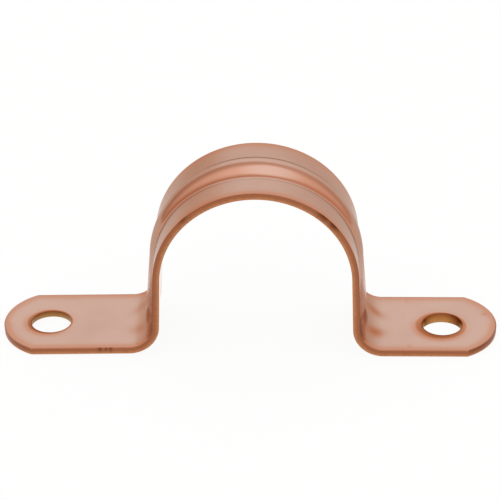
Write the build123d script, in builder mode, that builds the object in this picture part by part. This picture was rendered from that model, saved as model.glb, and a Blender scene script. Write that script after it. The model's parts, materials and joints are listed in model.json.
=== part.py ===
from build123d import *
import os
from math import cos, radians, sin, tan

# Two-hole pipe clip: an omega strap with a stiffening rib, pressed from one piece of copper sheet.
# Origin in the middle of the overall length and width, on the mounting plane under the feet.
# X runs along the strap, Y along the pipe, Z away from the mounting plane.

# Driving dimensions in millimetres, angles in degrees
pipe_diameter = 22.2  # outside diameter of the pipe that the arch holds
pinch = 1.25  # how far the pipe stands below the feet until the screws pull them down
sheet = 0.85  # thickness of the sheet
strap_width = 12.0  # measured along the pipe
leg_lean = 1.4  # angle by which each leg spreads from upright towards its foot
bend_radius = 2.75  # between leg and foot, on the side of the screw heads
left_foot = 14.92  # flat length of the left foot, from its bend to its tip
right_foot = 13.38  # flat length of the right foot, sheared shorter than the left
end_rise = 3.58  # how far a rounded tip stands beyond its two corners
hole_diameter = 4.7  # screw hole
left_hole_edge = 5.55  # left tip to the centre of its hole
right_hole_edge = 6.38  # right tip to the centre of its hole
rib_crown_height = 1.15  # how far the pressed rib stands out of the arch at its top
rib_leg_height = 0.52  # how far it stands out of the legs
rib_radius = 1.78  # outside radius of the rib's round section
crease_radius = 0.3  # between the rib and the lands beside it, on the outer side
edge_break_share = 0.22  # bevel where shearing rolls the outer edges over, as a share of the sheet
hole_break_share = 0.42  # bevel where punching draws a hole's upper rim in, as a share of the sheet

# Arch and legs, worked out on the pipe side of the sheet
lean = radians(leg_lean)
seat_radius = pipe_diameter / 2
axis_height = seat_radius - pinch
pipe_side_bend = bend_radius + sheet
bend_turn = 90 - leg_lean
bend_tangent = pipe_side_bend * tan(radians(bend_turn / 2))
spring_height = axis_height + seat_radius * sin(lean)
leg_length = spring_height / cos(lean) - bend_tangent
bend_end = seat_radius * cos(lean) + spring_height * tan(lean) + bend_tangent

# Tips and holes, with the origin halfway between the tips
overall_length = 2 * bend_end + left_foot + right_foot
left_tip = -overall_length / 2
right_tip = overall_length / 2
axis_x = left_tip + left_foot + bend_end
left_hole_x = left_tip + left_hole_edge
right_hole_x = right_tip - right_hole_edge

# Rib, whose arch has its centre above the pipe's axis, so that it is highest at the crown,
# and whose legs run on until they end inside the pipe space, so that the foot bends alone shape its ends
outer_radius = seat_radius + sheet
rib_axis_height = axis_height + rib_crown_height - rib_leg_height
rib_path_radius = outer_radius + rib_leg_height - rib_radius
rib_leg_length = (rib_axis_height + rib_path_radius * sin(lean) - sheet / 2) / cos(lean)

edge_break = edge_break_share * sheet
hole_break = hole_break_share * sheet


def draw_arch(centre_height, radius, leg):
    """Draw an arch over the pipe's axis with a straight leg at each end, and return the two legs."""
    arch = CenterArc((axis_x, centre_height), radius, leg_lean, 180 - 2 * leg_lean)
    right_leg = Line(arch @ 0, arch @ 0 - (arch % 0) * leg)
    left_leg = Line(arch @ 1, arch @ 1 + (arch % 1) * leg)
    return right_leg, left_leg


def draw_bent_sheet():
    """Draw the pipe side of the sheet from foot bend to foot bend, and return the two bends."""
    right_leg, left_leg = draw_arch(axis_height, seat_radius, leg_length)
    right_bend = JernArc(right_leg @ 1, right_leg % 1, pipe_side_bend, bend_turn)
    left_bend = JernArc(left_leg @ 1, left_leg % 1, pipe_side_bend, -bend_turn)
    return right_bend, left_bend


def draw_sheet_line():
    """Draw the whole pipe side of the sheet, from tip to tip."""
    right_bend, left_bend = draw_bent_sheet()
    Line(right_bend @ 1, (right_tip, 0))
    Line(left_bend @ 1, (left_tip, 0))


# Pipe side of the sheet, by which the outer edges are told from the inner ones
with BuildLine(Plane.XZ) as pipe_side:
    draw_sheet_line()


def is_outer_edge(edge):
    """Tell whether an edge lies on the side of the sheet that faces away from the pipe."""
    middle = edge @ 0.5
    return pipe_side.line.distance_to(Vector(middle.X, 0, middle.Z)) > sheet - edge_break


def is_hole_rim(edge):
    """Tell whether an edge is the round rim of a screw hole."""
    return edge.geom_type == GeomType.CIRCLE and edge.is_closed


# Rib: a round bar bent over the arch, cut back to the pipe side of the sheet
with BuildPart() as rib:
    with BuildLine(Plane.XZ) as rib_path:
        draw_arch(rib_axis_height, rib_path_radius, rib_leg_length)
    rib_start = Plane(origin=rib_path.wire() @ 0, z_dir=rib_path.wire() % 0)
    with BuildSketch(rib_start):
        Circle(rib_radius)
    sweep(path=rib_path.wire())
    with BuildSketch(Plane.XZ):
        with BuildLine():
            right_bend, left_bend = draw_bent_sheet()
            Line(right_bend @ 1, left_bend @ 1)
        make_face()
    extrude(amount=rib_radius, both=True, mode=Mode.SUBTRACT)

# Groove: the hollow that pressing the rib leaves on the pipe side
with BuildPart() as groove:
    with BuildSketch(rib_start):
        Circle(rib_radius - sheet)
    sweep(path=rib_path.wire())

# Strap: the sheet bent to its profile, trimmed to its rounded ends, punched, and pressed with the rib
with BuildPart() as strap:
    with BuildSketch(Plane.XZ):
        with BuildLine():
            draw_sheet_line()
            offset(amount=sheet, side=Side.RIGHT)
        make_face()
    extrude(amount=strap_width / 2, both=True)

    with BuildSketch(Plane.XY):
        with BuildLine():
            right_corner = right_tip - end_rise
            left_corner = left_tip + end_rise
            half_width = strap_width / 2
            right_end = SagittaArc((right_corner, -half_width), (right_corner, half_width), -end_rise)
            left_end = SagittaArc((left_corner, half_width), (left_corner, -half_width), -end_rise)
            Line(right_end @ 1, left_end @ 0)
            Line(left_end @ 1, right_end @ 0)
        make_face()
    extrude(amount=axis_height + outer_radius, mode=Mode.INTERSECT)

    with Locations((left_hole_x, 0, sheet), (right_hole_x, 0, sheet)):
        Hole(hole_diameter / 2, depth=sheet)

    outer_edges = edges().filter_by(Axis.Y, reverse=True).filter_by(is_outer_edge)
    hole_rims = outer_edges.filter_by(is_hole_rim)
    chamfer(hole_rims, hole_break)
    chamfer(outer_edges - hole_rims, edge_break)

    add(rib.part)
    fillet(edges(Select.NEW), crease_radius)
    add(groove.part, mode=Mode.SUBTRACT)

strap.part.label = "pipe_strap"
os.makedirs("parts", exist_ok=True)
export_step(strap.part, "parts/pipe_strap.step")
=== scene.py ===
"""Dresses a two-hole pipe clip, pressed from copper sheet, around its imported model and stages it.

The clip is one piece. Its skin is worked out on the developed blank, the flat strip before bending, whose two
coordinates are the run along the pipe side of the sheet and the distance across the strap. A third one, the
lift off the pipe side, carries the sheet's thickness, the pressed rib and the edges that cutting leaves.
"""

from __future__ import annotations

import json
import logging
import math
from dataclasses import dataclass, field
from enum import Enum
from typing import Any

import bmesh
import bpy
import numpy as np
from mathutils import Matrix, Vector

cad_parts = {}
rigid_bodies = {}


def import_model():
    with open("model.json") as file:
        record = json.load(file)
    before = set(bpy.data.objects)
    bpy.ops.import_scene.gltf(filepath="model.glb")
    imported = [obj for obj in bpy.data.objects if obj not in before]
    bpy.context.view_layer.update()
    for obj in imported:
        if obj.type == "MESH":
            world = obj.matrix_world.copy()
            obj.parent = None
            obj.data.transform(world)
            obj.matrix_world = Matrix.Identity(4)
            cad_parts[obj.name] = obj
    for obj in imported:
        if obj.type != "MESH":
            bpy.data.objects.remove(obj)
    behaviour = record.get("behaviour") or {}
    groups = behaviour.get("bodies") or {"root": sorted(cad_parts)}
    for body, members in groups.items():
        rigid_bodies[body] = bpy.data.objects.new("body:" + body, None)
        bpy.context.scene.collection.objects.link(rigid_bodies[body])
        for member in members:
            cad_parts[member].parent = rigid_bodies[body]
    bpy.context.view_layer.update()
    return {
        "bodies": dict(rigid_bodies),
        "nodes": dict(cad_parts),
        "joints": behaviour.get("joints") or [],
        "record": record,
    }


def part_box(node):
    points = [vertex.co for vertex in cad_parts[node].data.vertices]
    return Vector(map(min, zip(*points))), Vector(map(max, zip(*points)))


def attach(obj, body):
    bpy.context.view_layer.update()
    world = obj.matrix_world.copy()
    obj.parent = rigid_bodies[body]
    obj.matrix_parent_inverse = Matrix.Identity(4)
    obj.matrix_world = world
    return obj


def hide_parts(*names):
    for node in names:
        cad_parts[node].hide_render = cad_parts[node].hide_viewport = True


LOG = logging.getLogger("pipe_clip")
NODE = "pipe_strap"
BODY = "root"
MM = 0.001
TINY = 1e-9

Array = np.ndarray
Span = tuple[float, float]
Colour = tuple[float, float, float, float]


class Side(Enum):
    """The two ends of the strap, by the sign of the direction from the middle to the tip."""

    LEFT = -1
    RIGHT = 1


class Finish(Enum):
    """The finishes of the strap's surfaces, by the material slot that each fills."""

    ROLLED = 0
    SHEARED = 1
    PUNCHED = 2


def smooth_step(value: Array, low: float, high: float) -> Array:
    """Rises from 0 at low to 1 at high along the cubic 3t^2 - 2t^3.

    Args:
        value: The numbers to map.
        low: Where the step starts.
        high: Where the step ends.

    Returns:
        The step, in the shape of value.
    """
    t = np.clip((value - low) / (high - low), 0.0, 1.0)
    return t * t * (3.0 - 2.0 * t)


def window(value: Array, rise: Span, fall: Span) -> Array:
    """Rises by a smooth step over one span, stays at 1, and falls by a smooth step over another."""
    return smooth_step(value, *rise) * (1 - smooth_step(value, *fall))


def bell(value: Array, middle: Array | float, width: float) -> Array:
    """Bell curve exp(-t^2), where t is the distance from the middle in widths."""
    return np.exp(-(((value - middle) / width) ** 2))


def between(first: Array | float, second: float, share: Array) -> Array:
    """Goes straight from the first number to the second as the share goes from 0 to 1."""
    return first + (second - first) * share


def soft_maximum(value: Array, floor: float, blend: Array | float) -> Array:
    """Takes the larger of value and floor, with a parabola for a corner where they differ by under blend.

    Args:
        value: The numbers to keep above the floor.
        floor: The lower limit.
        blend: The difference at which the rounding starts.

    Returns:
        The rounded maximum, in the shape of value.
    """
    overlap = np.clip(blend - np.abs(value - floor), 0.0, None)
    return np.maximum(value, floor) + overlap**2 / (4.0 * blend)


@dataclass(frozen=True)
class ClipSizes:
    """The clip's sizes in metres and radians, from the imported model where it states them."""

    seat_radius: float
    axis_x: float
    axis_height: float
    width: float
    left_tip: float
    right_tip: float
    hole_radius: float
    left_hole_x: float
    right_hole_x: float
    rib_crown_height: float
    sheet: float = 0.85 * MM
    leg_lean: float = math.radians(1.4)
    bend_radius: float = 2.75 * MM
    end_rise: float = 3.58 * MM
    rib_leg_height: float = 0.52 * MM
    left_spring: float = math.radians(0.95)
    right_spring: float = 0.0

    @classmethod
    def from_frame(cls, frame: dict[str, Any]) -> ClipSizes:
        """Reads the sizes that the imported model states.

        Args:
            frame: The loaded frame.

        Returns:
            The sizes of this clip.
        """
        mounts = {mount["name"]: mount for mount in frame["record"]["mounts"]}
        seat = mounts["pipe_seat"]
        low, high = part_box(NODE)
        seat_radius = seat["dims"]["r_mm"] * MM
        axis_x, _, axis_height = seat["pos_m"]
        return cls(
            seat_radius=seat_radius,
            axis_x=axis_x,
            axis_height=axis_height,
            width=high.y - low.y,
            left_tip=low.x,
            right_tip=high.x,
            hole_radius=mounts["left_screw_hole"]["dims"]["r_mm"] * MM,
            left_hole_x=mounts["left_screw_hole"]["pos_m"][0],
            right_hole_x=mounts["right_screw_hole"]["pos_m"][0],
            rib_crown_height=high.z - axis_height - seat_radius - cls.sheet,
        )

    @property
    def end_radius(self) -> float:
        """Radius of a rounded tip, from its chord, the strap's width, and its rise."""
        return (self.end_rise**2 + (self.width / 2) ** 2) / (2 * self.end_rise)

    def spring(self, side: Side) -> float:
        """Angle by which a foot rises from its tip to its bend, left over when the press opened."""
        return self.left_spring if side is Side.LEFT else self.right_spring

    def hole_edge(self, side: Side) -> float:
        """Distance from a tip to the centre of its hole."""
        left, right = self.left_hole_x - self.left_tip, self.right_tip - self.right_hole_x
        return left if side is Side.LEFT else right


@dataclass
class SheetLine:
    """The pipe side of the sheet seen along the pipe, a chain of straight runs and arcs from tip to tip."""

    sizes: ClipSizes

    def __post_init__(self) -> None:
        """Lays out the chain: foot, bend, leg, arch, leg, bend, foot."""
        sizes = self.sizes
        left_foot, left_turn, left_leg = self._corner(Side.LEFT)
        right_foot, right_turn, right_leg = self._corner(Side.RIGHT)
        bend = sizes.bend_radius + sizes.sheet
        arch_turn = math.pi - 2 * sizes.leg_lean
        self.lengths = np.array([
            left_foot, left_turn * bend, left_leg, arch_turn * sizes.seat_radius,
            right_leg, right_turn * bend, right_foot,
        ])
        self.curvatures = np.array([0.0, 1 / bend, 0.0, -1 / sizes.seat_radius, 0.0, 1 / bend, 0.0])
        self.starts = np.concatenate([[0.0], np.cumsum(self.lengths)])
        turns = np.concatenate([[0.0], np.cumsum(self.lengths * self.curvatures)])
        self.headings = sizes.spring(Side.LEFT) + turns
        self.total = float(self.starts[-1])
        self.crown = (self.starts[3] + self.starts[4]) / 2
        corners = [np.array([sizes.left_tip, 0.0])]
        for index, length in enumerate(self.lengths):
            corners.append(corners[-1] + self._chord(index, np.array(length)))
        self.corners = np.array(corners)

    def _corner(self, side: Side) -> tuple[float, float, float]:
        """Works out a foot, its bend and its leg, with the side's tip to the left.

        The foot's line rises from the tip by its spring, the leg's line touches the arch, and the bend's arc
        cuts radius x tan(half its turn) off both where they meet.

        Args:
            side: Which end of the strap.

        Returns:
            The foot's length, the angle that the bend turns, and the leg's length.
        """
        sizes = self.sizes
        lean, spring = sizes.leg_lean, sizes.spring(side)
        tip = sizes.left_tip if side is Side.LEFT else -sizes.right_tip
        axis = sizes.axis_x * -side.value
        touch_x = axis - sizes.seat_radius * math.cos(lean)
        touch_z = sizes.axis_height + sizes.seat_radius * math.sin(lean)
        foot, leg = np.linalg.solve(
            np.array([[math.cos(spring), math.sin(lean)], [math.sin(spring), math.cos(lean)]]),
            np.array([touch_x - tip, touch_z]),
        )
        turn = math.pi / 2 - lean - spring
        tangent = (sizes.bend_radius + sizes.sheet) * math.tan(turn / 2)
        return float(foot - tangent), turn, float(leg - tangent)

    def _chord(self, index: Array | int, along: Array) -> Array:
        """Chord from a segment's start: along x sinc(half the turn) long, in the mean heading.

        Args:
            index: Which segment each point is on.
            along: Distances from the segments' starts.

        Returns:
            The chords, as x and z in the last axis.
        """
        half_turn = self.curvatures[index] * along / 2
        length = along * np.sinc(half_turn / math.pi)
        heading = self.headings[index] + half_turn
        return np.stack([length * np.cos(heading), length * np.sin(heading)], axis=-1)

    def lifted(self, run: Array, lift: Array) -> Array:
        """Finds points that stand off the line by a lift along its left normal.

        Args:
            run: Distances along the line from the left tip.
            lift: Distances off the line.

        Returns:
            The points, as x and z in the last axis.
        """
        index = np.clip(np.searchsorted(self.starts, run, side="right") - 1, 0, len(self.lengths) - 1)
        along = run - self.starts[index]
        points = self.corners[index] + self._chord(index, along)
        heading = self.headings[index] + self.curvatures[index] * along
        return points + lift[..., None] * np.stack([-np.sin(heading), np.cos(heading)], axis=-1)

    def bend_share(self, run: Array) -> Array:
        """How far through a bend a place lies: 0 at the leg, 1 at the foot, and beyond these outside it.

        Args:
            run: Distances along the sheet line.

        Returns:
            The shares of a bend.
        """
        starts = self.starts
        left = (starts[2] - run) / (starts[2] - starts[1])
        right = (run - starts[5]) / (starts[6] - starts[5])
        return np.maximum(left, right)

    def turn(self, run: Array) -> Array:
        """Angle round the arch from its crown, in radians."""
        return (run - self.crown) / self.sizes.seat_radius


@dataclass(frozen=True)
class PressedRib:
    """The round rib along the middle of the strap, as lifts off the lands beside it."""

    sizes: ClipSizes
    line: SheetLine
    crease: float = 0.35 * MM
    mouth: float = 0.7 * MM
    flank_limit: float = 0.643
    leg_gain: float = math.radians(2.9)
    run_out: Span = (-0.15, 0.6)
    crown_half_width: float = 1.73 * MM
    leg_half_width: float = 1.4 * MM
    end_half_width: float = 2.0 * MM
    widening: Span = (-1.5, 0.2)
    least_height: float = 0.002 * MM
    least_blend: float = 0.001 * MM
    shown_height: float = 0.02 * MM
    creased_height: float = 0.3 * MM

    def _round_arch(self, run: Array, crown: float, leg: float) -> Array:
        """A size that goes from the crown's to the legs' as cos^2 of the angle round the arch."""
        angle = np.clip(self.line.turn(run), -math.pi / 2, math.pi / 2)
        return between(leg, crown, np.cos(angle) ** 2)

    def crest(self, run: Array) -> Array:
        """Works out the height of the rib's crest above the land.

        On the arch it falls from the crown as cos^2 of the angle. On a leg it grows by leg_gain towards the
        foot. In a bend it dies out along a smooth step, between the shares of the bend in run_out.

        Args:
            run: Distances along the sheet line.

        Returns:
            The heights, 0 where the rib has run out.
        """
        line = self.line
        arch = self._round_arch(run, self.sizes.rib_crown_height, self.sizes.rib_leg_height)
        below = np.maximum(np.maximum(line.starts[3] - run, run - line.starts[4]), 0.0)
        grown = arch + below * math.tan(self.leg_gain)
        return grown * (1 - smooth_step(line.bend_share(run), *self.run_out))

    def half_width(self, run: Array) -> Array:
        """Distance from the middle to the crease: widest at the crown and in the bends, least on the legs.

        Args:
            run: Distances along the sheet line.

        Returns:
            The distances.
        """
        arch = self._round_arch(run, self.crown_half_width, self.leg_half_width)
        end = self.end_half_width - self.leg_half_width
        return arch + end * smooth_step(self.line.bend_share(run), *self.widening)

    def _circle(self, run: Array) -> tuple[Array, Array]:
        """Height of the crest, kept above 0, and radius of the circle through it and both creases."""
        height = np.maximum(self.crest(run), self.least_height)
        return height, (height**2 + self.half_width(run) ** 2) / (2 * height)

    def crease_line(self, run: Array) -> Array:
        """Distance from the middle at which the section's circle, or its straight flank, meets the land.

        Args:
            run: Distances along the sheet line.

        Returns:
            The distances.
        """
        height, radius = self._circle(run)
        limit = self.flank_limit * radius
        rise = radius * math.sqrt(1 - self.flank_limit**2)
        flank = limit + (height - radius + rise) * rise / limit
        return np.where(self.half_width(run) > limit, flank, self.half_width(run))

    def _round(self, across: Array, radius: Array) -> Array:
        """Upper half of a circle, carried on as a straight flank beyond flank_limit of its radius.

        Args:
            across: Distances across the strap.
            radius: Radii of the circles.

        Returns:
            The heights above the circles' centres.
        """
        limit = self.flank_limit * radius
        reach = np.abs(across)
        inside = np.minimum(reach, limit)
        rise = np.sqrt(radius**2 - inside**2)
        return rise - (reach - inside) * limit / np.sqrt(radius**2 - limit**2)

    def _section(self, run: Array, across: Array, inwards: float, blend: float) -> Array:
        """Lift of a circle through the crest and both creases, moved inwards, and blended into the land.

        Args:
            run: Distances along the sheet line.
            across: Distances across the strap.
            inwards: How far the circle lies inside the outer one.
            blend: How far the creases are rounded where the rib is high.

        Returns:
            The lifts off the land.
        """
        height, radius = self._circle(run)
        radius = radius - inwards
        blend = self.least_blend + blend * smooth_step(height, self.least_height, self.creased_height)
        lift = soft_maximum(height - radius + self._round(across, radius), 0.0, blend)
        return lift * smooth_step(height, self.least_height, self.shown_height)

    def outer(self, run: Array, across: Array) -> Array:
        """Lift of the outer side, creased into the land."""
        return self._section(run, across, 0.0, self.crease)

    def inner(self, run: Array, across: Array) -> Array:
        """Lift of the pipe side, one sheet inside the outer circle and flared at the groove's mouth."""
        return self._section(run, across, self.sizes.sheet, self.mouth)


@dataclass(frozen=True)
class PressMarks:
    """What the press left on the upper face, with painted shade and painted reflections, as shares over the
    blank.

    Places along a leg and its bend are shares of the bend, 0 at the leg and 1 at the foot. Places round the
    arch are angles from its crown. crown_dull and crease_shade are the shares at both ends of such a place,
    and front_reflection and rear_reflection a middle and a width across the strap.
    """

    line: SheetLine
    rib: PressedRib
    # Painted shade at the crown's rear and in the bends, and a painted pale reflection on the legs' rib
    crown_rear: Span = (1.0 * MM, 3.0 * MM)
    crown_dull: Span = (0.15, 0.45)
    haunch: Span = (0.05, 0.8)
    haunch_dull: float = 0.9
    leg_top: Span = (1.3, 1.9)
    leg_dull: float = 0.1
    bend_start: Span = (0.0, 0.3)
    dull_end: Span = (0.55, 1.05)
    left_dull: float = 0.6
    clear_start: Span = (-1.2, -0.3)
    satin_start: Span = (-1.6, -0.6)
    leg_end: Span = (0.0, 0.35)
    rib_side: Span = (1.4 * MM, 2.4 * MM)
    leg_satin: float = 1.5
    bend_satin: float = 1.6
    satin_middle: float = 0.55
    satin_length: float = 0.22
    crease_end: float = 6.0 * MM
    crease_width: float = 0.18 * MM
    crease_turn: Span = (0.3, 0.8)
    # Painted shade in the rib's creases, from the crown to the legs
    crease_shade: Span = (0.4, 0.85)
    # Painted shade: an orange tint over the bends
    bend_shade_end: Span = (0.4, 0.65)
    bend_shade: float = 0.6
    # Painted reflections: orange patches that the rib's run-out flanks mirror into the bends
    reflection_middle: float = 0.76
    reflection_length: float = 0.24
    reflection_slant: float = 3.5 * MM
    left_reflection: float = 0.4
    front_reflection: Span = (-2.2 * MM, 1.0 * MM)
    rear_reflection: Span = (2.5 * MM, 0.85 * MM)
    rear_strength: float = 0.8
    # Painted shade on the rib's far flank and the legs' rear lands
    far_slope: Span = (-0.05, 0.6)
    far_dark: float = 0.9
    land_end: Span = (0.1, 0.4)
    land_side: Span = (1.2 * MM, 2.2 * MM)
    land_dark: float = 0.5
    reflection_dark: float = 0.32

    def _by_side(self, run: Array, left: float) -> Array:
        """A share for the left half of the strap, and 1 for the right half."""
        return np.where(run < self.line.crown, left, 1.0)

    def _on_rib(self, across: Array) -> Array:
        """How far a place belongs to the legs' rib: 1 on it and 0 on the lands beside it."""
        return 1 - smooth_step(np.abs(across), *self.rib_side)

    def dulling_and_painted_light(self, run: Array, across: Array) -> Array:
        """Works out how far bending dulled the sheet, with painted shade at the crown's rear and in the
        bends, and below 0 a painted pale reflection on the legs' rib.

        Smooth steps of the angle round the arch lead from the crown over the haunches to the legs, and smooth
        steps of the share of the bend lead into and out of the bends.

        Args:
            run: Distances along the sheet line.
            across: Distances across the strap.

        Returns:
            The shares, from -1 to 1.
        """
        turn, share = np.abs(self.line.turn(run)), self.line.bend_share(run)
        # Painted shade at the crown's rear and in the bends, besides real dulling
        crown = between(*self.crown_dull, smooth_step(across, *self.crown_rear))
        haunch = between(crown, self.haunch_dull, smooth_step(turn, *self.haunch))
        leg = between(haunch, self.leg_dull, smooth_step(turn, *self.leg_top))
        bend = window(share, self.bend_start, self.dull_end) * self._by_side(run, self.left_dull)
        # Below 0: a painted pale reflection on the legs' rib
        pale_rib = window(share, self.clear_start, self.leg_end) * self._on_rib(across)
        return leg * (1 - smooth_step(share, *self.bend_start)) + bend - pale_rib

    def polish(self, run: Array, across: Array) -> Array:
        """How far the die left the sheet satin, as a number below 0: on the legs' rib and in the bends.

        Args:
            run: Distances along the sheet line.
            across: Distances across the strap.

        Returns:
            The shares, 0 where the sheet is bright.
        """
        share = self.line.bend_share(run)
        leg = window(share, self.satin_start, self.leg_end) * self._on_rib(across)
        return -self.leg_satin * leg - self.bend_satin * bell(share, self.satin_middle, self.satin_length)

    def reflection_patches(self, run: Array, across: Array) -> Array:
        """Painted reflections: how far the bends take orange patches on both sides of the rib's ends, as bell
        curves.

        Args:
            run: Distances along the sheet line.
            across: Distances across the strap.

        Returns:
            The shares.
        """
        share = self.line.bend_share(run)
        near = bell(share, self.reflection_middle, self.reflection_length) * self._by_side(run, self.left_reflection)
        slanted = across + self.reflection_slant * (share - self.reflection_middle)
        rear = self.rear_strength * bell(slanted, *self.rear_reflection)
        return near * (bell(across, *self.front_reflection) + rear)

    def rub(self, run: Array, across: Array) -> Array:
        """Works out the orange tint on the face: painted shade along the rib's creases and over the bends,
        and the painted reflection patches.

        A crease's line is a bell curve of the distance from it, and ends with the arch.

        Args:
            run: Distances along the sheet line.
            across: Distances across the strap.

        Returns:
            The shares, from 0 to above 1 where they add up.
        """
        start, end = self.line.starts[3:5]
        arch = window(run, (start, start + self.crease_end), (end - self.crease_end, end))
        strength = between(*self.crease_shade, smooth_step(np.abs(self.line.turn(run)), *self.crease_turn))
        # Painted shade: a darker line along both creases of the rib
        crease = strength * arch * bell(np.abs(across), self.rib.crease_line(run), self.crease_width)
        # Painted shade over the bends
        bend = self.bend_shade * window(self.line.bend_share(run), self.bend_start, self.bend_shade_end)
        return crease + bend + self.reflection_patches(run, across)

    def painted_shade(self, run: Array, across: Array) -> Array:
        """Works out the painted shade on the rib's far flank and the legs' rear lands, and the dark of the
        painted reflection patches.

        The flank is told by its slope, the difference of two lifts over the distance between them.

        Args:
            run: Distances along the sheet line.
            across: Distances across the strap.

        Returns:
            The shares, from 0 to 1.
        """
        step = 0.02 * MM
        slope = (self.rib.outer(run, across - step) - self.rib.outer(run, across + step)) / (2 * step)
        flank = self.far_dark * smooth_step(slope, *self.far_slope)
        leg = window(self.line.bend_share(run), self.satin_start, self.land_end)
        land = self.land_dark * leg * smooth_step(across, *self.land_side)
        return np.clip(np.maximum(flank, land) + self.reflection_dark * self.reflection_patches(run, across), 0.0, 1.0)


@dataclass(frozen=True)
class CutEdge:
    """The section of an edge that a press tool cut: a rolled-over corner, a wall, and a small burr."""

    sheet: float
    roll_depth: float
    taper: float
    # Orange tint on the roll and beside it: real rub and painted reflection
    first_rub_and_reflection: float
    last_rub_and_reflection: float
    tint_reach: float = 0.5 * MM
    tint_change: Span = (0.0, 0.4)
    burr: float = 0.04 * MM
    wall_shade: float = 0.3
    roll_steps: int = 11
    wall_steps: int = 7
    burr_steps: int = 4

    def section(self, roll_width: Array, growth: Array) -> tuple[Array, Array]:
        """Works out sections from the upper face to the pipe side.

        The roll is a quarter of an ellipse, the wall slants inwards by taper, and the burr is a quarter of a
        circle.

        Args:
            roll_width: How far each section's roll reaches in from the edge.
            growth: What each section's roll depth is multiplied by.

        Returns:
            The insets from the edge's furthest line and the lifts off the pipe side, as sections x points.
        """
        roll = np.linspace(0.0, math.pi / 2, self.roll_steps)
        burr = np.linspace(0.0, math.pi / 2, self.burr_steps)[1:]
        wall = np.linspace(0.0, 1.0, self.wall_steps)[1:]
        width, drop = roll_width[:, None], self.roll_depth * growth[:, None]
        top = self.sheet - drop
        inset = np.concatenate([
            width * (1 - np.sin(roll)),
            np.broadcast_to(self.taper * wall, (len(width), len(wall))),
            np.broadcast_to(self.taper + self.burr * (1 - np.cos(burr)), (len(width), len(burr))),
        ], axis=1)
        lift = np.concatenate([
            top + drop * np.cos(roll),
            top + (self.burr - top) * wall,
            np.broadcast_to(self.burr * (1 - np.sin(burr)), (len(width), len(burr))),
        ], axis=1)
        return inset, lift

    @property
    def depth(self) -> Array:
        """How deep each point of a section lies on the wall, from 0 at the roll to 1 at the burr."""
        wall = np.linspace(0.0, 1.0, self.wall_steps)[1:]
        return np.concatenate([np.zeros(self.roll_steps), wall, np.ones(self.burr_steps - 1)])

    @property
    def nearness(self) -> Array:
        """How near each point is to the foot of the roll: a square down to it, and straight down the wall."""
        roll = np.linspace(0.0, 1.0, self.roll_steps) ** 2
        return np.concatenate([roll, 1 - self.depth[self.roll_steps :]])

    @property
    def shade(self) -> Array:
        """How much of the edge's painted shade each point takes: its nearness on the roll, and less on the
        wall.
        """
        on_roll = np.arange(len(self.depth)) < self.roll_steps
        return np.where(on_roll, self.nearness, self.wall_shade * self.nearness)

    @property
    def rub(self) -> Array:
        """How far each point takes rub and painted reflection, from the first share at the roll's start to
        the last within it.

        Returns:
            The shares, one for each point of a section.
        """
        share = np.linspace(0.0, 1.0, self.roll_steps)
        roll = between(self.first_rub_and_reflection, self.last_rub_and_reflection, smooth_step(share, *self.tint_change))
        return np.concatenate([roll, np.full(self.wall_steps + self.burr_steps - 2, self.last_rub_and_reflection)])

    def fading_rub_and_reflection(self, distance: Array) -> Array:
        """How far the face beside the edge takes rub and painted reflection, a bell curve of the distance
        from the roll.
        """
        return self.first_rub_and_reflection * bell(distance, 0.0, self.tint_reach)

    @property
    def last_inset(self) -> float:
        """Inset of the edge where it meets the pipe side."""
        return self.taper + self.burr

    @property
    def first_wall_row(self) -> int:
        """Index of the section's first stretch that belongs to the wall."""
        return self.roll_steps - 1


@dataclass(frozen=True)
class Nick:
    """A knock in the sheared edge, by its place along the strap, its length and its depth."""

    run: float
    length: float
    depth: float

    def dent(self, run: Array) -> Array:
        """How deep the knock is at distances along the strap, a bell curve of its length."""
        return self.depth * bell(run, self.run, self.length / 2)


@dataclass
class Patch:
    """A stretch of skin on a grid: its points on the blank, their lifts, and what the finishes need there."""

    run: Array
    across: Array
    lift: Array
    finish: Array
    along: Array | None = None
    depth: Array | None = None
    rub: Array | None = None
    worked: Array | None = None
    polish: Array | None = None
    scar: Array | None = None
    closed: bool = False


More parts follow.
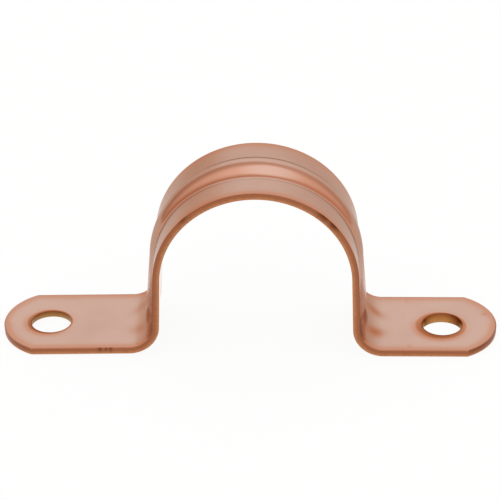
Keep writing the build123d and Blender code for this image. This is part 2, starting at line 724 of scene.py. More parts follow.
@dataclass(frozen=True)
class Foot:
    """The plan of one foot round its hole, with distances measured from the tip.

    Places round the outline are angles of its outward normal in degrees, 0 at the tip and -90 in front.
    """

    sizes: ClipSizes
    side: Side
    joint: float
    least_roll: float
    plain_dark: float
    corner_radius: float = 0.45 * MM
    side_steps: int = 22
    corner_steps: int = 9
    tip_steps: int = 64
    roll_change: Span = (-90.0, -55.0)
    tip_start: Span = (-78.0, -52.0)
    tip_end: Span = (-10.0, 30.0)
    left_tip_dark: float = 0.6
    front_end: Span = (-90.0, -60.0)
    rear_start: Span = (30.0, 80.0)
    smudge_middle: Span = (1.35 * MM, 2.1 * MM)
    smudge_size: float = 0.35 * MM
    smudge_rub: float = 0.6

    def _angles(self) -> tuple[Array, float]:
        """Directions of the edge's outward normals, from the front of the joint round to its rear.

        Returns:
            The angles from the tip's direction, and that at which the tip's arc ends.
        """
        end, corner = self.sizes.end_radius, self.corner_radius
        limit = math.asin((self.sizes.width / 2 - corner) / (end - corner))
        corner_angle = np.linspace(math.pi / 2, limit, self.corner_steps)[:-1]
        tip_angle = np.linspace(-limit, limit, self.tip_steps)
        side_angle = np.full(self.side_steps - 1, math.pi / 2)
        return np.concatenate([-side_angle, -corner_angle, tip_angle, corner_angle[::-1], side_angle]), limit

    def edge(self, inset: Array) -> Array:
        """Draws the foot's edge from the front of the joint round the tip to the rear of the joint.

        Two straight sides run into the tip's arc through small arcs. A point is its arc's centre plus the
        radius along the outward normal, and an inset only shortens that radius. A side's points use the
        corner's radius.

        Args:
            inset: Distances inwards, as outline x column, or 1 x column where the whole edge has the same.

        Returns:
            Points as distance from the tip and distance across, as outline x column x 2.
        """
        end, corner = self.sizes.end_radius, self.corner_radius
        angle, limit = self._angles()
        centre_across = self.sizes.width / 2 - corner
        centre_in = end - math.sqrt((end - corner) ** 2 - centre_across**2)
        side_in = np.linspace(self.joint, centre_in, self.side_steps)[:-1]
        corner_in = np.full(self.corner_steps - 1, centre_in)
        tip_in = np.full(self.tip_steps, end)
        inward = np.concatenate([side_in, corner_in, tip_in, corner_in, side_in[::-1]])
        rounded = np.abs(angle) > limit + TINY
        centres = np.stack([inward, np.where(rounded, np.sign(angle) * centre_across, 0.0)], axis=-1)
        normals = np.stack([-np.cos(angle), np.sin(angle)], axis=-1)
        reach = np.where(rounded, corner, end)[:, None] - inset
        return centres[:, None, :] + reach[..., None] * normals[:, None, :]

    def from_edge(self, points: Array) -> Array:
        """Distance from the outline, the smaller of those from the nearer side and from the tip's arc.

        Args:
            points: Distances from the tip and across, in the last axis.

        Returns:
            The distances.
        """
        end = self.sizes.end_radius
        side = self.sizes.width / 2 - np.abs(points[..., 1])
        return np.minimum(side, end - np.hypot(points[..., 0] - end, points[..., 1]))

    def roll(self) -> Array:
        """How much of the widest roll the edge has: all in front, and least_roll round the tip and behind."""
        return between(1.0, self.least_roll, smooth_step(np.degrees(self._angles()[0]), *self.roll_change))

    def edge_shade(self, shade: Array) -> Array:
        """How far the edge takes painted shade, set by the way it faces: most from the front corner round to
        the tip, and on the right foot.

        Args:
            shade: How much of the painted shade each point of the edge's section takes.

        Returns:
            The shares, as outline x section.
        """
        angle = np.degrees(self._angles()[0])[:, None]
        strength = 1.0 if self.side is Side.RIGHT else self.left_tip_dark
        tip = strength * window(angle, self.tip_start, self.tip_end) * np.sqrt(shade)
        front = shade * (1 - smooth_step(angle, *self.front_end))
        rear = np.sqrt(shade) * smooth_step(angle, *self.rear_start)
        return np.maximum(tip, self.plain_dark * (front + rear))

    def smudge(self, points: Array) -> Array:
        """How far a knock rubbed the right foot's face behind its tip, a bell curve in both directions.

        Args:
            points: Distances from the tip and across, in the last axis.

        Returns:
            The shares, all 0 on the left foot.
        """
        if self.side is Side.LEFT:
            return np.zeros(points.shape[:-1])
        spot = bell(points, np.array(self.smudge_middle), self.smudge_size)
        return self.smudge_rub * spot.prod(axis=-1)

    def run(self, inward: Array, total: float) -> Array:
        """Distance along the sheet line of points at these distances from the tip."""
        return inward if self.side is Side.LEFT else total - inward


@dataclass(frozen=True)
class PunchedHole:
    """A screw hole: its cut edge, how unevenly the punch drew its rim in, and how far its wall leans.

    Places on the section are points from the foot of the roll, negative on the roll.
    """

    edge: CutEdge
    radius: float
    roll_width: float
    lean: float
    lean_towards: float
    slant: Span
    least_drawn: float = 0.2
    lip_start: Span = (-6.0, -3.0)
    lip_end: Span = (0.5, 3.0)
    lip_dark: Span = (0.6, 0.95)
    drag_start: Span = (-11.0, -7.0)
    drag_dark: float = 0.6

    def rings(self, angle: Array) -> tuple[Array, Array, Array]:
        """Works out the hole's wall for each angle and each point of the edge's section.

        The roll's width grows by 1 + lean x cos(angle - lean_towards) and its depth by the root of that, and
        the wall moves by slant as it goes down to the pipe side.

        Args:
            angle: Angles round the hole, from the direction away from the tip.

        Returns:
            Distances from the hole's centre away from the tip and across, and lifts, as angle x section.
        """
        growth = 1 + self.lean * np.cos(angle - self.lean_towards)
        inset, lift = self.edge.section(self.roll_width * growth, np.sqrt(growth))
        radii = self.radius + inset
        down = 1 - lift / self.edge.sheet
        inward = radii * np.cos(angle)[:, None] + self.slant[0] * down
        return inward, radii * np.sin(angle)[:, None] + self.slant[1] * down, lift

    def drawn(self, angle: Array) -> Array:
        """How far the punch drew the face in at each angle, from least_drawn to 1 where it dragged most."""
        return between(self.least_drawn, 1.0, np.clip(np.cos(angle - self.lean_towards), 0.0, 1.0))

    def lip_shade(self, angle: Array) -> Array:
        """Painted shade on the rim's lip and roll, most where the punch dragged them.

        Args:
            angle: Angles round the hole, from the direction away from the tip.

        Returns:
            The shares, as angle x section.
        """
        row = np.arange(len(self.edge.depth)) - self.edge.first_wall_row
        drawn = self.drawn(angle)[:, None]
        lip = between(*self.lip_dark, drawn) * window(row, self.lip_start, self.lip_end)
        drag = self.drag_dark * drawn * smooth_step(row, *self.drag_start) * (row <= 0)
        return np.maximum(lip, drag)


@dataclass
class PressedStrap:
    """The whole clip as one closed skin."""

    sizes: ClipSizes
    name: str = "pressed_strap"
    arch_steps: int = 168
    leg_steps: int = 18
    bend_steps: int = 40
    flat_steps: int = 40
    land_steps: int = 12
    rib_steps: int = 52
    foot_rings: int = 20
    rib_zone: float = 2.6 * MM
    hole_room: float = 4.2 * MM
    roll_width: float = 0.42 * MM
    arch_roll: float = 0.7
    rear_roll: float = 0.6
    rear_reach: float = 1.6
    # Painted reflection: makes the pipe side pale with a white grazing tint, and lowers its roughness
    under_polish_and_reflection: float = 1.5
    # Painted shade on the sheared edges, as a share at the foot of the roll
    edge_dark: float = 0.5
    darkest_nick: float = 0.07 * MM
    seam: float = 0.0005 * MM
    patches: list[Patch] = field(default_factory=list)

    def __post_init__(self) -> None:
        """Sets up the sheet's line, its rib, the press's marks, both holes and feet, and the nicks."""
        sizes = self.sizes
        self.line = SheetLine(sizes)
        self.rib = PressedRib(sizes, self.line)
        self.press = PressMarks(self.line, self.rib)
        self.rim = CutEdge(sizes.sheet, roll_depth=0.09 * MM, taper=0.03 * MM, first_rub_and_reflection=0.6, last_rub_and_reflection=0.6)
        punched = CutEdge(sizes.sheet, roll_depth=0.08 * MM, taper=0.05 * MM, first_rub_and_reflection=0.8, last_rub_and_reflection=1.0)
        self.holes = {
            Side.LEFT: PunchedHole(
                punched, sizes.hole_radius, roll_width=0.38 * MM, lean=0.55, lean_towards=math.radians(-130),
                slant=(0.0, -0.05 * MM),
            ),
            Side.RIGHT: PunchedHole(
                punched, sizes.hole_radius, roll_width=0.64 * MM, lean=0.9, lean_towards=math.radians(-70),
                slant=(0.05 * MM, -0.8 * MM),
            ),
        }
        self.feet = {
            side: Foot(sizes, side, sizes.hole_edge(side) + self.hole_room, self.rear_roll, self.edge_dark)
            for side in Side
        }
        self.nicks = (
            Nick(11.6 * MM, 0.5 * MM, 0.05 * MM),
            Nick(12.3 * MM, 0.4 * MM, 0.04 * MM),
            Nick(12.85 * MM, 0.35 * MM, 0.05 * MM),
            Nick(self.line.crown + 8.0 * MM, 1.6 * MM, 0.06 * MM),
            Nick(self.line.crown + 9.5 * MM, 1.4 * MM, 0.07 * MM),
            Nick(self.line.crown - 8.6 * MM, 1.2 * MM, 0.04 * MM),
        )

    def _strap_runs(self) -> Array:
        """Distances along the sheet line at which the strap between the feet has its rows.

        Returns:
            The distances, from the left joint to the right one.
        """
        stops = self.line.starts.copy()
        stops[0] = self.feet[Side.LEFT].joint
        stops[-1] = self.line.total - self.feet[Side.RIGHT].joint
        half = [self.flat_steps, self.bend_steps, self.leg_steps]
        steps = half + [self.arch_steps] + half[::-1]
        rows = [np.linspace(a, b, n, endpoint=False) for a, b, n in zip(stops[:-1], stops[1:], steps)]
        return np.concatenate(rows + [stops[-1:]])

    def _front_roll(self, run: Array) -> Array:
        """How much of the widest roll the front edge has: all on the feet, and arch_roll above the bends."""
        starts = self.line.starts
        return between(1.0, self.arch_roll, window(run, tuple(starts[1:3]), tuple(starts[5:7])))

    def _across(self, front: Array, rear: Array) -> Array:
        """Distances across the strap of its columns, even on the rib and closer together towards both edges.

        Args:
            front: Each row's inset from the front edge.
            rear: Each row's inset from the rear edge.

        Returns:
            The distances, as row x column.
        """
        share = 1 - np.linspace(1.0, 0.0, self.land_steps + 1)[1:] ** 2
        half = self.sizes.width / 2
        front_land, rear_land = (
            self.rib_zone + (half - inset[:, None] - self.rib_zone) * share for inset in (front, rear)
        )
        rib = np.linspace(-self.rib_zone, self.rib_zone, self.rib_steps + 1)
        middle = np.broadcast_to(rib, (len(front), len(rib)))
        return np.concatenate([-front_land[:, ::-1], middle, rear_land], axis=1)

    def _behind(self, across: Array) -> Array:
        """How much further an edge's rub and painted reflection reach than in front: 1 up to the middle,
        rear_reach at the rear.
        """
        return between(1.0, self.rear_reach, smooth_step(across, 0.0, self.sizes.width / 2))

    def _rub_and_painted_light(self, run: Array, across: Array) -> Array:
        """How far the upper face between the feet takes the orange tint: painted shade and reflections from
        the press, and rub and painted reflection beside both sheared edges.

        Args:
            run: Distances along the sheet line.
            across: Distances across the strap.

        Returns:
            The shares, from 0 to 1.
        """
        half = self.sizes.width / 2
        front = self.rim.fading_rub_and_reflection(half - self.roll_width * self._front_roll(run) + across)
        rear = self.rim.fading_rub_and_reflection((half - self.roll_width * self.rear_roll - across) / self._behind(across))
        return np.clip(self.press.rub(run, across) + front + rear, 0.0, 1.0)

    def _foot_rub_and_painted_light(self, side: Side, points: Array, inner: Array) -> Array:
        """How far a foot's upper face takes the orange tint: rub and painted reflection beside its edge and
        round its hole, and its smudge.

        Args:
            side: Which foot.
            points: Distances from the tip and across, as spoke x ring x 2.
            inner: The spokes' points on the hole's rim.

        Returns:
            The shares, as spoke x ring.
        """
        foot, hole = self.feet[side], self.holes[side]
        rolled = self.roll_width * np.where(points[..., 1] < 0, 1.0, self.rear_roll)
        from_edge = np.clip(foot.from_edge(points) - rolled, 0.0, None)
        from_hole = np.linalg.norm(points - inner[:, None, :], axis=-1)
        edge = self.rim.fading_rub_and_reflection(from_edge / self._behind(points[..., 1]))
        rim = hole.drawn(self._spokes(side))[:, None] * hole.edge.fading_rub_and_reflection(from_hole)
        return np.clip(edge + rim + foot.smudge(points), 0.0, 1.0)

    def _spokes(self, side: Side) -> Array:
        """Angles round a hole at which its foot has its spokes, one for each point of the foot's loop."""
        loop = self._loop(side, np.zeros(len(self.feet[side].roll())))
        return np.arctan2(loop[:, 1], loop[:, 0] - self.sizes.hole_edge(side))

    def _loop(self, side: Side, inset: Array) -> Array:
        """Closed loop round a foot, its edge moved inwards and the joint to the strap.

        Args:
            side: Which foot.
            inset: How far each point of the edge is moved inwards.

        Returns:
            The points, as distance from the tip and distance across.
        """
        foot = self.feet[side]
        across = self._across(inset[:1], inset[-1:])[0]
        joint = np.stack([np.full(len(across) - 2, foot.joint), across[1:-1][::-1]], axis=-1)
        return np.concatenate([foot.edge(inset[:, None])[:, 0, :], joint])

    def _add_strap(self, top: bool) -> None:
        """Adds one face of the strap between the feet, on a grid of runs x distances across.

        Args:
            top: Whether it is the upper face, and not the pipe side.
        """
        runs = self._strap_runs()
        finish = np.array([Finish.ROLLED.value])
        if not top:
            inset = np.full_like(runs, self.rim.last_inset)
            across = self._across(inset, inset)
            run = np.broadcast_to(runs[:, None], across.shape)
            # The pipe side takes a painted pale reflection
            polish = np.full_like(run, self.under_polish_and_reflection)
            self.patches.append(Patch(run, across, self.rib.inner(run, across), finish, polish=polish))
            return
        rear = np.full_like(runs, self.roll_width * self.rear_roll)
        across = self._across(self.roll_width * self._front_roll(runs), rear)
        run = np.broadcast_to(runs[:, None], across.shape)
        self.patches.append(Patch(
            run, across, self.sizes.sheet + self.rib.outer(run, across), finish,
            rub=self._rub_and_painted_light(run, across),
            worked=self.press.dulling_and_painted_light(run, across),
            polish=self.press.polish(run, across),
            scar=self.press.painted_shade(run, across),
        ))

    def _add_foot(self, side: Side, top: bool) -> None:
        """Adds one face of a foot, as straight spokes from its hole to its loop.

        Args:
            side: Which foot.
            top: Whether it is the upper face, and not the underside.
        """
        foot = self.feet[side]
        inward, sideways, _ = self.holes[side].rings(self._spokes(side))
        column = 0 if top else -1
        inner = np.stack([self.sizes.hole_edge(side) + inward[:, column], sideways[:, column]], axis=-1)
        roll = foot.roll()
        outer = self._loop(side, self.roll_width * roll if top else np.full_like(roll, self.rim.last_inset))
        ring = (1 - np.cos(np.linspace(0.0, math.pi, self.foot_rings + 1))) / 2
        points = inner[:, None, :] * (1 - ring[None, :, None]) + outer[:, None, :] * ring[None, :, None]
        run = foot.run(points[..., 0], self.line.total)
        lift = np.full(run.shape, self.sizes.sheet if top else 0.0)
        rub = self._foot_rub_and_painted_light(side, points, inner) if top else None
        finish = np.array([Finish.ROLLED.value])
        self.patches.append(Patch(run, points[..., 1], lift, finish, rub=rub, closed=True))

    def _add_rim(self) -> None:
        """Adds the sheared edge, its section carried along the whole outline, with its nicks in front."""
        total, half = self.line.total, self.sizes.width / 2
        left, right = self.feet[Side.LEFT], self.feet[Side.RIGHT]
        runs = self._strap_runs()[1:-1]
        front = self._front_roll(runs)
        rear = np.full_like(runs, self.rear_roll)
        roll = right.roll()
        inset, lift = self.rim.section(self.roll_width * front, front)
        rear_inset, rear_lift = self.rim.section(self.roll_width * rear, rear)
        foot_inset, foot_lift = self.rim.section(self.roll_width * roll, roll)
        knock = np.max([nick.dent(runs) for nick in self.nicks], axis=0)[:, None] * self.rim.nearness
        shade = self.rim.shade
        strap_run = np.broadcast_to(runs[:, None], inset.shape)
        right_edge = right.edge(foot_inset)
        left_edge = left.edge(foot_inset)[::-1]
        run = np.concatenate([
            strap_run, right.run(right_edge[..., 0], total),
            strap_run[::-1], left.run(left_edge[..., 0], total),
        ])
        across = np.concatenate([
            -half + inset + knock, right_edge[..., 1], half - rear_inset, left_edge[..., 1],
        ])
        lifts = np.concatenate([lift, foot_lift, rear_lift, foot_lift[::-1]])
        # Painted shade on the roll and the wall, on every side and strongest round the tips, added to the
        # nicks' real dark
        scar = np.concatenate([
            knock / self.darkest_nick + self.edge_dark * shade,
            right.edge_shade(shade),
            np.broadcast_to(self.edge_dark * np.sqrt(shade), inset.shape),
            left.edge_shade(shade)[::-1],
        ])
        self._add_edge(run, across, lifts, self.rim, Finish.SHEARED, scar)

    def _add_hole(self, side: Side) -> None:
        """Adds the punched wall of one hole.

        Args:
            side: Which foot the hole is in.
        """
        hole, spokes = self.holes[side], self._spokes(side)
        inward, sideways, lift = hole.rings(spokes)
        run = self.feet[side].run(self.sizes.hole_edge(side) + inward, self.line.total)
        self._add_edge(run, sideways, lift, hole.edge, Finish.PUNCHED, hole.lip_shade(spokes))

    def _add_edge(
        self, run: Array, across: Array, lift: Array, edge: CutEdge, finish: Finish, scar: Array
    ) -> None:
        """Adds a closed band of cut edge, with its roll in the face's finish and its wall in its own.

        Args:
            run: Distances along the sheet line, as loop x section.
            across: Distances across the strap, in the same shape.
            lift: Lifts off the pipe side, in the same shape.
            edge: The section's rule.
            finish: The wall's finish.
            scar: How dark each point is, from real nicks and painted shade, in the same shape.
        """
        on_roll = np.arange(run.shape[1] - 1) < edge.first_wall_row
        middle = np.stack([run.mean(axis=1), across.mean(axis=1)], axis=-1)
        steps = np.linalg.norm(np.diff(middle, axis=0), axis=1)
        along = np.concatenate([[0.0], np.cumsum(steps)])
        self.patches.append(Patch(
            run, across, lift, np.where(on_roll, Finish.ROLLED.value, finish.value),
            along=np.broadcast_to(along[:, None], run.shape),
            depth=np.broadcast_to(edge.depth, run.shape),
            rub=np.broadcast_to(edge.rub, run.shape),
            worked=self.press.dulling_and_painted_light(run, across),
            polish=self.press.polish(run, across),
            scar=scar,
            closed=True,
        ))

    def _place(self, patch: Patch) -> Array:
        """Bends a patch: a point is the sheet line's at its run, moved by its lift along the left normal."""
        flat = self.line.lifted(patch.run, patch.lift)
        return np.stack([flat[..., 0], patch.across, flat[..., 1]], axis=-1)

    def _weave(self, patch: Patch, first: int) -> tuple[Array, Array]:
        """Joins a patch's grid into four-sided faces.

        Args:
            patch: The patch.
            first: Index of its first point in the whole mesh.

        Returns:
            The faces' corners, and each face's material slot.
        """
        rows, columns = patch.run.shape
        index = first + np.arange(rows * columns).reshape(rows, columns)
        if patch.closed:
            index = np.concatenate([index, index[:1]])
        faces = np.stack([index[:-1, :-1], index[1:, :-1], index[1:, 1:], index[:-1, 1:]], axis=-1)
        finish = np.broadcast_to(patch.finish, faces.shape[:2])
        return faces.reshape(-1, 4), finish.reshape(-1)

    def build(self) -> bpy.types.Object:
        """Makes the mesh object from all patches, with their seams merged and its faces turned outwards.

        Returns:
            The object, at the origin.
        """
        for top in (True, False):
            self._add_strap(top)
            for side in Side:
                self._add_foot(side, top)
        self._add_rim()
        for side in Side:
            self._add_hole(side)
        points, corners, slots = [], [], []
        units = dict.fromkeys(("run", "across", "along"), MM)
        units |= dict.fromkeys(("depth", "rub", "worked", "polish", "scar"), 1.0)
        fields: dict[str, list[Array]] = {key: [] for key in units}
        first = 0
        for patch in self.patches:
            faces, finish = self._weave(patch, first)
            points.append(self._place(patch).reshape(-1, 3))
            corners.append(faces)
            slots.append(finish)
            for key, values in fields.items():
                data = getattr(patch, key)
                values.append(np.zeros(patch.run.size) if data is None else np.array(data, float).reshape(-1))
            first += patch.run.size
        mesh = bpy.data.meshes.new(self.name)
        mesh.from_pydata(np.concatenate(points), [], np.concatenate(corners))
        mesh.polygons.foreach_set("material_index", np.concatenate(slots).astype(np.int32))
        for key, values in fields.items():
            layer = mesh.attributes.new(key, "FLOAT", "POINT")
            layer.data.foreach_set("value", (np.concatenate(values) / units[key]).astype(np.float32))
        self._close(mesh)
        piece = bpy.data.objects.new(self.name, mesh)
        bpy.context.scene.collection.objects.link(piece)
        return piece

    def _close(self, mesh: bpy.types.Mesh) -> None:
        """Merges the seams between patches, turns all faces outwards and shades them smooth.

        Args:
            mesh: The mesh of all patches.
        """
        shell = bmesh.new()
        shell.from_mesh(mesh)
        bmesh.ops.remove_doubles(shell, verts=shell.verts, dist=self.seam)
        bmesh.ops.recalc_face_normals(shell, faces=shell.faces)
        open_edges = sum(not edge.is_manifold for edge in shell.edges)
        LOG.info("%s: %d faces, %d open edges", self.name, len(shell.faces), open_edges)
        shell.to_mesh(mesh)
        shell.free()
        mesh.polygons.foreach_set("use_smooth", np.ones(len(mesh.polygons), bool))
        mesh.update()

    def dress(self, piece: bpy.types.Object) -> None:
        """Gives the piece its finishes, in the order of their slots."""
        for finish in (RolledCopper(), ShearedCopper(), PunchedCopper()):
            piece.data.materials.append(finish.material())


def linear(colour: str) -> Colour:
    """Turns an sRGB hex colour to linear, by the standard's straight start and its power of 2.4.

    Args:
        colour: The colour, such as #cc9966.

    Returns:
        Its linear red, green and blue, and full alpha.
    """
    values = [int(colour[i : i + 2], 16) / 255 for i in (1, 3, 5)]
    red, green, blue = (v / 12.92 if v <= 0.04045 else ((v + 0.055) / 1.055) ** 2.4 for v in values)
    return red, green, blue, 1.0


def add_node(
    tree: bpy.types.NodeTree, kind: str, links: dict[Any, Any] | None = None, **settings: Any
) -> bpy.types.Node:
    """Adds a node with its settings and inputs.

    Args:
        tree: The node tree.
        kind: The node's type name, without its common start.
        links: Inputs by name or index: a node whose first shown output is linked, a socket, or a value.
        **settings: Properties of the node.

    Returns:
        The node.
    """
    node = tree.nodes.new("ShaderNode" + kind)
    for key, value in settings.items():
        setattr(node, key, value)
    for key, value in (links or {}).items():
        if isinstance(value, bpy.types.Node):
            value = next(socket for socket in value.outputs if socket.enabled)
        if isinstance(value, bpy.types.NodeSocket):
            tree.links.new(value, node.inputs[key])
        else:
            node.inputs[key].default_value = value
    return node


def new_material(name: str) -> tuple[bpy.types.Material, bpy.types.NodeTree]:
    """Makes a node material without any nodes.

    Args:
        name: The material's name.

    Returns:
        The material and its node tree.
    """
    material = bpy.data.materials.new(name)
    material.use_nodes = True
    material.node_tree.nodes.clear()
    return material, material.node_tree


@dataclass(frozen=True)
class RolledCopper:
    """Bright copper sheet as it leaves the rolling mill, with sizes in millimetres.

    It gives the eye a rosy satin face, duller where it was bent, redder where the press rubbed it, and pale
    where it is seen at a low angle. Shade is painted in as dull, orange and dark tones, and reflections as
    orange patches and a pale face on the pipe side and the legs' rib.
    """

    name: str = "rolled_copper"
    face: str = "#d1ad9d"
    # Dull tone for random haze, for bending and for painted shade
    haze_and_shade: str = "#b98f7b"
    # Orange tint for real rub, and for painted shade and painted reflections
    rubbed_and_painted_light: str = "#c9835f"
    # Dark tone for real nicks and for painted shade
    stain_and_shade: str = "#8a4c2c"
    # Pale colour painted as a reflection on the legs' rib and the pipe side
    burnished: str = "#ecdcd2"
    grazing: str = "#ebe1da"
    # White grazing tint painted as a reflection on the pipe side
    reflected_grazing: str = "#ffffff"
    roughness: float = 0.16
    roughness_change: Span = (-0.03, 0.05)
    polish_effect: float = -0.09
    haze_size: float = 7.0
    haze_range: Span = (0.45, 0.75)
    haze_share: float = 0.25
    grain_width: float = 0.25
    grain_stretch: float = 0.06
    grain_range: Span = (0.3, 0.7)
    grain_bump: float = 0.04
    grain_depth: float = 0.05

    def material(self) -> bpy.types.Material:
        """Builds the material.

        Returns:
            The material.
        """
        material, tree = new_material(self.name)
        keys = ("run", "across", "worked", "polish", "rub", "scar")
        read = {key: add_node(tree, "Attribute", attribute_name=key).outputs["Fac"] for key in keys}
        blank = add_node(tree, "CombineXYZ", {0: read["run"], 1: read["across"]})
        haze_and_shade = add_node(tree, "TexNoise", {"Vector": blank, "Scale": 1 / self.haze_size, "Detail": 4.0})
        patchy = add_node(tree, "MapRange", {
            "Value": haze_and_shade, "From Min": self.haze_range[0], "From Max": self.haze_range[1],
            "To Max": self.haze_share,
        })
        # Haze and dulling, with painted shade, darken the face
        dulled_and_shaded = add_node(tree, "Math", {0: patchy, 1: read["worked"]}, operation="ADD", use_clamp=True)
        clear = add_node(tree, "Math", {0: read["worked"], 1: -1.0}, operation="MULTIPLY")
        # Painted reflection: a pale face where the legs' rib is cleared and on the pipe side
        painted_reflection = add_node(tree, "Math", {0: read["polish"], 1: clear}, operation="MAXIMUM")
        colour, tint = linear(self.face), linear(self.grazing)
        layers = (
            (dulled_and_shaded, self.haze_and_shade), (painted_reflection, self.burnished),
            (read["rub"], self.rubbed_and_painted_light), (read["scar"], self.stain_and_shade),
        )
        for share, over in layers:
            links = {"Factor": share, "A": colour, "B": linear(over)}
            colour = add_node(tree, "Mix", links, data_type="RGBA")
        # The grazing tint takes the painted reflection and the painted shade too
        for share, over in ((read["polish"], self.reflected_grazing), (read["scar"], self.stain_and_shade)):
            links = {"Factor": share, "A": tint, "B": linear(over)}
            tint = add_node(tree, "Mix", links, data_type="RGBA")
        # Rolling leaves fine lines along the strip, drawn a few times coarser than life so that they show
        lines = add_node(tree, "VectorMath", {
            0: blank, 1: (self.grain_stretch / self.grain_width, 1 / self.grain_width, 1.0),
        }, operation="MULTIPLY")
        grain = add_node(tree, "TexNoise", {"Vector": lines, "Scale": 1.0})
        least, most = (self.roughness + change for change in self.roughness_change)
        rough = add_node(tree, "MapRange", {
            "Value": grain, "From Min": self.grain_range[0], "From Max": self.grain_range[1],
            "To Min": least, "To Max": most,
        })
        sheen = add_node(tree, "Math", {
            0: read["polish"], 1: self.polish_effect, 2: rough,
        }, operation="MULTIPLY_ADD")
        bump = add_node(tree, "Bump", {
            "Height": grain, "Strength": self.grain_bump, "Distance": self.grain_depth * MM,
        })
        shader = add_node(tree, "BsdfPrincipled", {
            "Base Color": colour, "Metallic": 1.0, "Roughness": sheen, "Normal": bump, "Specular Tint": tint,
        })
        add_node(tree, "OutputMaterial", {"Surface": shader})
        return material


@dataclass(frozen=True)
class ShearedCopper:
    """Copper cut by a shear, with sizes in millimetres.

    It gives the eye a dark burnished band above and a paler torn band below, with marks through the sheet,
    and painted shade that is darkest near the top of the wall.
    """

    name: str = "sheared_copper"
    burnished: str = "#a96b4b"
    torn: str = "#c0835b"
    # Dark tone for tears, real nicks and painted shade
    scarred_and_shaded: str = "#5f351f"
    roughness: float = 0.42
    streak_width: float = 0.45
    streak_stretch: float = 0.35
    streak_bump: float = 0.35
    streak_depth: float = 0.08
    torn_range: Span = (0.95, 1.35)
    tear_range: Span = (0.6, 0.78)
    tear_share: float = 0.5

    def material(self) -> bpy.types.Material:
        """Builds the material.

        Returns:
            The material.
        """
        material, tree = new_material(self.name)
        keys = ("along", "depth", "scar")
        read = {key: add_node(tree, "Attribute", attribute_name=key).outputs["Fac"] for key in keys}
        place = add_node(tree, "CombineXYZ", {0: read["along"], 1: read["depth"]})
        marks = add_node(tree, "VectorMath", {
            0: place, 1: (1 / self.streak_width, self.streak_stretch, 1.0),
        }, operation="MULTIPLY")
        streak = add_node(tree, "TexNoise", {"Vector": marks, "Scale": 1.0, "Detail": 3.0, "Roughness": 0.65})
        ragged = add_node(tree, "Math", {0: read["depth"], 1: streak}, operation="ADD")
        band = add_node(tree, "MapRange", {
            "Value": ragged, "From Min": self.torn_range[0], "From Max": self.torn_range[1],
        })
        tears = add_node(tree, "MapRange", {
            "Value": streak, "From Min": self.tear_range[0], "From Max": self.tear_range[1],
            "To Max": self.tear_share,
        })
        dark = add_node(tree, "Math", {0: tears, 1: read["scar"]}, operation="ADD", use_clamp=True)
        colour = linear(self.burnished)
        for share, over in ((band, self.torn), (dark, self.scarred_and_shaded)):
            links = {"Factor": share, "A": colour, "B": linear(over)}
            colour = add_node(tree, "Mix", links, data_type="RGBA")
        bump = add_node(tree, "Bump", {
            "Height": streak, "Strength": self.streak_bump, "Distance": self.streak_depth * MM,
        })
        shader = add_node(tree, "BsdfPrincipled", {
            "Base Color": colour, "Metallic": 1.0, "Roughness": self.roughness, "Normal": bump,
        })
        add_node(tree, "OutputMaterial", {"Surface": shader})
        return material


@dataclass(frozen=True)
class PunchedCopper(ShearedCopper):
    """Copper cut by a punch: the same bands as a sheared edge, polished to a golden tone by the tool."""

    name: str = "punched_copper"
    burnished: str = "#9c6a3c"
    torn: str = "#a98150"
    scarred_and_shaded: str = "#6e4022"
    roughness: float = 0.36


@dataclass(frozen=True)
class Glow:
    """A round part of the sky, with its angles in degrees and its colour."""

    elevation: float
    azimuth: float
    full: float
    none: float
    colour: Colour

    def share(self, tree: bpy.types.NodeTree) -> bpy.types.Node:
        """Adds nodes for how near a direction of the sky is to the middle one.

        The middle one has its elevation above the horizon and its azimuth from the back of the stage towards
        the right. The share is 1 up to full degrees from it and 0 from none degrees on.

        Args:
            tree: The sky's node tree.

        Returns:
            The node that gives the share.
        """
        high, turn = math.radians(self.elevation), math.radians(self.azimuth)
        middle = (math.cos(high) * math.sin(turn), math.cos(high) * math.cos(turn), math.sin(high))
        place = add_node(tree, "TexCoord").outputs["Generated"]
        toward = add_node(tree, "VectorMath", {0: place, 1: middle}, operation="DOT_PRODUCT").outputs["Value"]
        least, most = (math.cos(math.radians(angle)) for angle in (self.none, self.full))
        return add_node(tree, "MapRange", {
            "Value": toward, "From Min": least, "From Max": most,
        }, interpolation_type="SMOOTHSTEP")


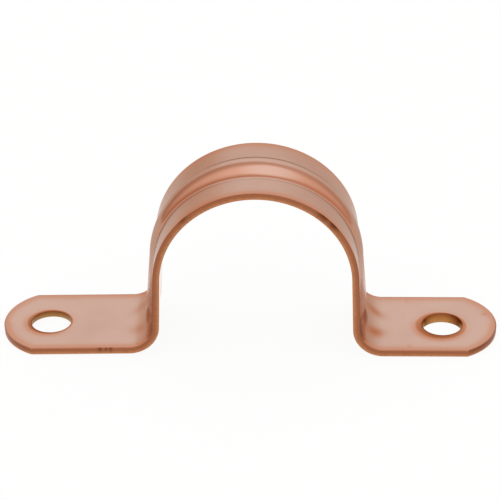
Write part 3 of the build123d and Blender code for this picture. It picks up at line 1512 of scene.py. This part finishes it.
@dataclass(frozen=True)
class Stage:
    """Floor, light and camera.

    walls, back and front are where the sky's parts start and end, walls by a direction's x and the others by
    its y.
    """

    aim: tuple[float, float, float] = (0.0215 * MM, 0.0, 10.81 * MM)
    elevation: float = math.radians(30.701)
    azimuth: float = math.radians(1.044)
    roll: float = math.radians(0.318)
    distance: float = 379.24 * MM
    lens: float = 234.53
    sensor: float = 36.0
    floor_size: float = 0.4
    floor_gap: float = 0.02 * MM
    floor_glow: float = 0.9
    white: Colour = (1.0, 1.0, 1.0, 1.0)
    left_wall: str = "#d9b7a2"
    right_wall: str = "#eccdbb"
    walls: Span = (-0.6, 0.6)
    left_back: Glow = Glow(elevation=14.0, azimuth=-38.0, full=6.0, none=24.0, colour=linear("#f8e9df"))
    back: Span = (0.4, 0.62)
    front: Span = (0.3, -0.45)
    front_colour: Colour = (1.24, 0.99, 0.86, 1.0)
    lamp: Glow = Glow(elevation=66.0, azimuth=147.0, full=10.0, none=30.0, colour=(1.22, 1.18, 1.15, 1.0))

    def add_floor(self) -> None:
        """Lays the floor: white to the eye and to metal, and shaded under the clip."""
        half = self.floor_size / 2
        low = -self.floor_gap
        corners = np.array([[-half, -half, low], [half, -half, low], [half, half, low], [-half, half, low]])
        mesh = bpy.data.meshes.new("floor")
        mesh.from_pydata(corners, [], [[0, 1, 2, 3]])
        floor = bpy.data.objects.new("floor", mesh)
        bpy.context.scene.collection.objects.link(floor)
        material, tree = new_material("white_board")
        paint = add_node(tree, "BsdfDiffuse", {"Color": self.white})
        glow = add_node(tree, "Emission", {"Strength": 1.0})
        path = add_node(tree, "LightPath").outputs
        seen = path["Is Camera Ray"]
        for kind in ("Is Glossy Ray", "Is Transmission Ray"):
            seen = add_node(tree, "Math", {0: seen, 1: path[kind]}, operation="MAXIMUM")
        share = add_node(tree, "Math", {0: seen, 1: self.floor_glow}, operation="MULTIPLY")
        mixed = add_node(tree, "MixShader", {0: share, 1: paint, 2: glow})
        add_node(tree, "OutputMaterial", {"Surface": mixed})
        mesh.materials.append(material)

    def add_sky(self) -> None:
        """Surrounds the clip with a studio that metal mirrors, and that the eye and the floor see as white.

        The studio is white at the back, with a warm belt over the ceiling and both sides, a pale front, and a
        soft lamp in front on the right.
        """
        world = bpy.data.worlds.new("studio")
        bpy.context.scene.world = world
        world.use_nodes = True
        tree = world.node_tree
        tree.nodes.clear()
        place = add_node(tree, "TexCoord").outputs["Generated"]
        axes = add_node(tree, "SeparateXYZ", {0: place}).outputs
        side = add_node(tree, "MapRange", {
            "Value": axes["X"], "From Min": self.walls[0], "From Max": self.walls[1],
        })
        behind, ahead = (
            add_node(tree, "MapRange", {
                "Value": axes["Y"], "From Min": start, "From Max": end,
            }, interpolation_type="SMOOTHSTEP")
            for start, end in (self.back, self.front)
        )
        path = add_node(tree, "LightPath").outputs
        plain = add_node(tree, "Math", {
            0: path["Is Camera Ray"], 1: path["Is Diffuse Ray"],
        }, operation="MAXIMUM")
        back = add_node(tree, "Mix", {
            "Factor": self.left_back.share(tree), "A": self.white, "B": self.left_back.colour,
        }, data_type="RGBA")
        sky = linear(self.left_wall)
        layers = (
            (side, linear(self.right_wall)), (behind, back), (ahead, self.front_colour),
            (self.lamp.share(tree), self.lamp.colour), (plain, self.white),
        )
        for share, over in layers:
            sky = add_node(tree, "Mix", {"Factor": share, "A": sky, "B": over}, data_type="RGBA")
        background = add_node(tree, "Background", {"Color": sky, "Strength": 1.0})
        add_node(tree, "OutputWorld", {"Surface": background})

    def add_camera(self) -> None:
        """Sets up the camera at its elevation and azimuth round the aim, rolled about its own view."""
        sin_e, cos_e = math.sin(self.elevation), math.cos(self.elevation)
        sin_a, cos_a = math.sin(self.azimuth), math.cos(self.azimuth)
        right = Vector((cos_a, sin_a, 0.0))
        up = Vector((-sin_a * sin_e, cos_a * sin_e, cos_e))
        back = Vector((sin_a * cos_e, -cos_a * cos_e, sin_e))
        sin_r, cos_r = math.sin(self.roll), math.cos(self.roll)
        axes = Matrix((cos_r * right - sin_r * up, sin_r * right + cos_r * up, back)).transposed()
        camera = bpy.data.cameras.new("camera")
        camera.lens = self.lens
        camera.sensor_width = self.sensor
        camera.clip_start = 0.01
        holder = bpy.data.objects.new("camera", camera)
        holder.matrix_world = Matrix.Translation(Vector(self.aim) + back * self.distance) @ axes.to_4x4()
        bpy.context.scene.collection.objects.link(holder)
        bpy.context.scene.camera = holder

    def build(self) -> None:
        """Sets up floor, sky, camera and the plain view transform."""
        self.add_floor()
        self.add_sky()
        self.add_camera()
        bpy.context.scene.view_settings.view_transform = "Standard"


def main() -> None:
    """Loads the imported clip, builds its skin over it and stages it."""
    logging.basicConfig(level=logging.INFO, format="%(name)s: %(message)s")
    for item in list(bpy.data.objects):
        bpy.data.objects.remove(item)
    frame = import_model()
    strap = PressedStrap(ClipSizes.from_frame(frame))
    piece = strap.build()
    strap.dress(piece)
    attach(piece, BODY)
    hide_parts(NODE)
    LOG.info("%s stands for %s", piece.name, NODE)
    Stage().build()


if __name__ == "__main__":
    main()
